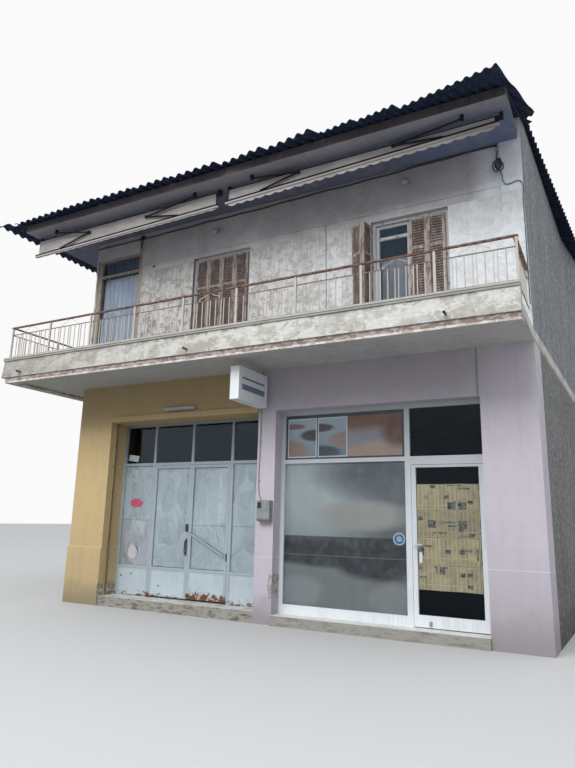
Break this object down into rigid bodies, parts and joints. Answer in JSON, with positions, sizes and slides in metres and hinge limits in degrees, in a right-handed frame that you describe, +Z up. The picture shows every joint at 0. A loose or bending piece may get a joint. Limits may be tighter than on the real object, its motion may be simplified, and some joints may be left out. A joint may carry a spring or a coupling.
{
  "type": "house with shops",
  "caption": "Street house with two shops at ground level, a flat above with a railed wrap-round balcony, louvred shutters, folded awnings and a hipped corrugated roof",
  "frame": {"origin": "left front corner of the ground storey, at the lowest level the walls stand on", "axes": "X runs right along the street front, Y runs back into the house, Z is up"},
  "size_m": [10.4083, 10.4985, 8.475],
  "materials": {
    "yellow_render": "painted lime render",
    "mauve_render": "painted render",
    "grey_render": "rough cement render",
    "white_render": "weathered limewash",
    "concrete": "weathered painted concrete",
    "marble": "worn marble",
    "galvanised_pipe": "dull zinc",
    "roof_sheet": "weathered fibre cement",
    "railing_paint": "chalky white paint",
    "rusty_steel": "rusty paint",
    "grey_steel": "grey gloss paint, worn",
    "shop_glass": "plain glass",
    "white_aluminium": "white powder coat",
    "white_joinery": "worn white paint",
    "shutter_wood": "faded brown paint",
    "beige_steel": "faded beige paint",
    "awning_cloth": "faded cloth",
    "sign_plastic": "milky sheet",
    "grey_plastic": "grey moulding",
    "lamp_glass": "opal"
  },
  "bodies": {
    "house": {"yellow_pier": "yellow_render", "left_shop_lintel": "yellow_render", "mauve_pillar": "mauve_render", "right_shop_lintel": "mauve_render", "right_front_pier": "mauve_render", "ground_left_wall": "yellow_render", "ground_rear_wall": "grey_render", "ground_right_wall": "grey_render", "ground_floor_slab": "concrete", "balcony_slab": "concrete", "balcony_kerb": "concrete", "balcony_coping": "marble", "drain_spouts": "galvanised_pipe", "upper_front_wall": "white_render", "upper_left_wall": "white_render", "upper_rear_wall": "white_render", "upper_right_wall": "grey_render", "roof_slab": "concrete", "main_roof": "roof_sheet", "front_roof_sheets": "roof_sheet", "left_roof_sheets": "roof_sheet", "right_roof_sheets": "roof_sheet", "rear_roof_sheets": "roof_sheet", "ridge_caps": "roof_sheet", "front_railing": "railing_paint", "side_railings": "railing_paint", "handrail": "rusty_steel", "steel_front_frame": "grey_steel", "steel_front_glass": "shop_glass", "roller_guides": "rusty_steel", "aluminium_frame": "white_aluminium", "aluminium_glass": "shop_glass", "stone_steps": "marble", "glazed_door_frame": "white_joinery", "french_door_frames": "white_joinery", "upper_glass": "shop_glass", "louvre_shutters": "shutter_wood", "awning_arms": "beige_steel", "awning_fabric": "awning_cloth", "hanging_sign": "sign_plastic", "meter_box": "grey_plastic", "lamps": "lamp_glass"},
    "left_leaf": {"steel_leaf_left": "grey_steel", "steel_leaf_left_glass": "shop_glass"},
    "right_leaf": {"steel_leaf_right": "grey_steel", "steel_leaf_right_glass": "shop_glass"},
    "shop_door": {"aluminium_door": "white_aluminium", "aluminium_door_glass": "shop_glass"}
  },
  "joints": [
    {"name": "left_leaf_hinge", "type": "hinge", "parent": "house", "child": "left_leaf", "pos_m": [1.5925, 0.466, 1.3], "axis": [0, 0, 1], "range_deg": [0, 95]},
    {"name": "right_leaf_hinge", "type": "hinge", "parent": "house", "child": "right_leaf", "pos_m": [3.2545, 0.466, 1.3], "axis": [0, 0, 1], "range_deg": [-95, 0]},
    {"name": "shop_door_hinge", "type": "hinge", "parent": "house", "child": "shop_door", "pos_m": [7.5195, 0.288, 1.2], "axis": [0, 0, 1], "range_deg": [-90, 0]}
  ]
}
